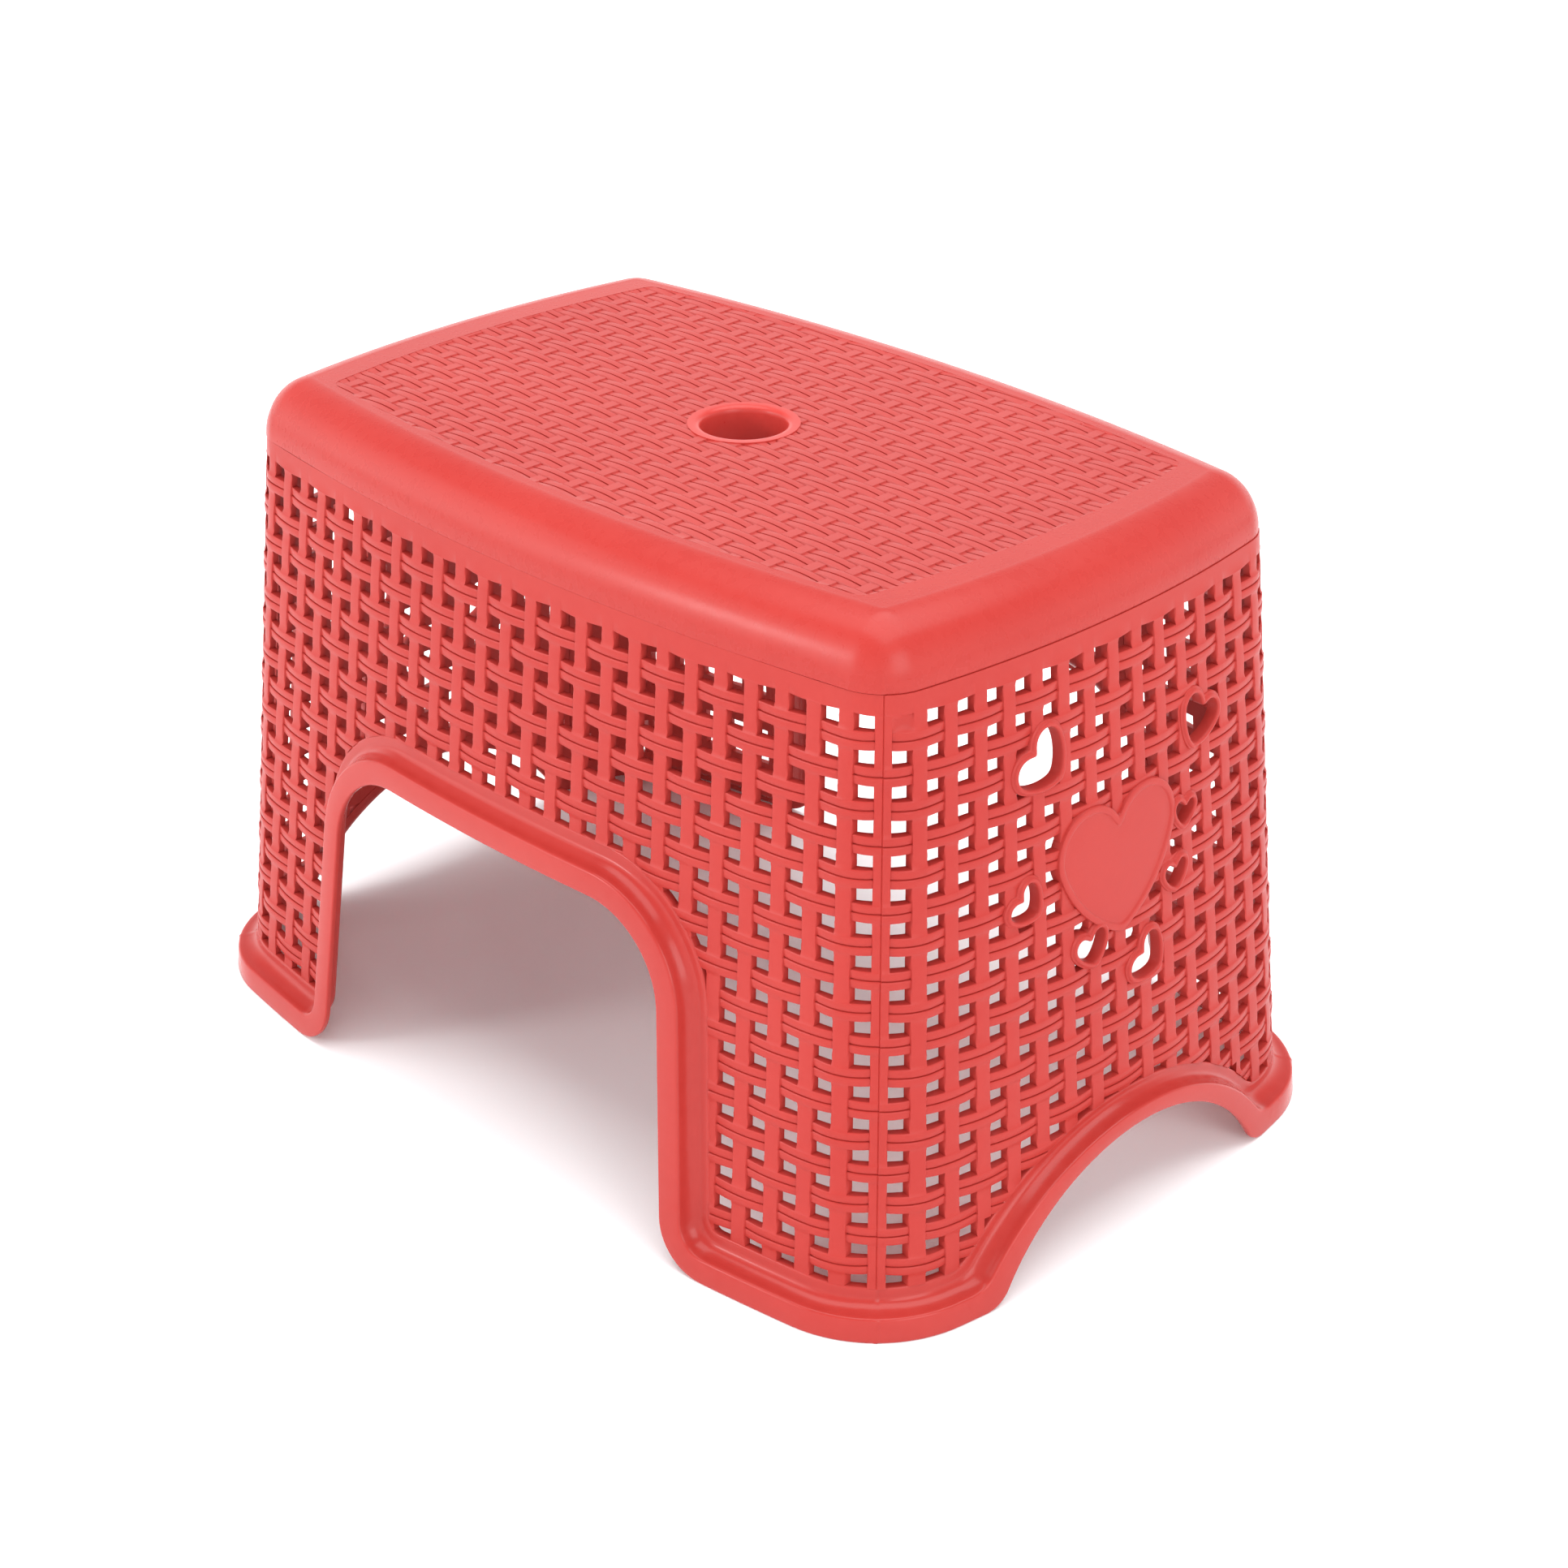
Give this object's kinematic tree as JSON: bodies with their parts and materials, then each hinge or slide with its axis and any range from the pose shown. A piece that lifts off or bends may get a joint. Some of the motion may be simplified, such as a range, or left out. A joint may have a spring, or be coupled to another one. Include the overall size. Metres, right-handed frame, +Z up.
{
  "type": "step stool",
  "caption": "Low rectangular one-piece plastic step stool with openwork basket-weave walls, arched sides, a textured seat and a central finger hole.",
  "frame": {"origin": "on the floor, at the middle of the footprint", "axes": "+X along the long side, towards the right end wall; -Y is the front; +Z up"},
  "size_m": [0.3696, 0.254, 0.2335],
  "materials": {
    "seat_texture": "fine moulded basket texture, satin",
    "smooth_plastic": "smooth moulded, semi-gloss",
    "underside_plastic": "plain moulded, satin",
    "rim_plastic": "smooth moulded, semi-gloss",
    "heart_plastic": "smooth moulded, satin",
    "weave_plastic": "moulded basket weave, satin"
  },
  "bodies": {
    "root": {"seat_panel": "seat_texture", "seat_border": "smooth_plastic", "finger_hole_collar": "smooth_plastic", "long_ribs": "underside_plastic", "cross_ribs": "underside_plastic", "shoulder": "smooth_plastic", "front_wall": "weave_plastic", "back_wall": "weave_plastic", "left_wall": "weave_plastic", "right_wall": "weave_plastic", "front_left_leg": "weave_plastic", "front_right_leg": "weave_plastic", "back_left_leg": "weave_plastic", "back_right_leg": "weave_plastic", "front_arch_rim": "rim_plastic", "back_arch_rim": "rim_plastic", "left_arch_rim": "rim_plastic", "right_arch_rim": "rim_plastic", "front_left_foot_rim": "rim_plastic", "front_right_foot_rim": "rim_plastic", "back_left_foot_rim": "rim_plastic", "back_right_foot_rim": "rim_plastic", "heart_medallion_left": "heart_plastic", "heart_medallion_right": "heart_plastic", "heart_rings_left": "heart_plastic", "heart_rings_right": "heart_plastic"}
  },
  "joints": []
}
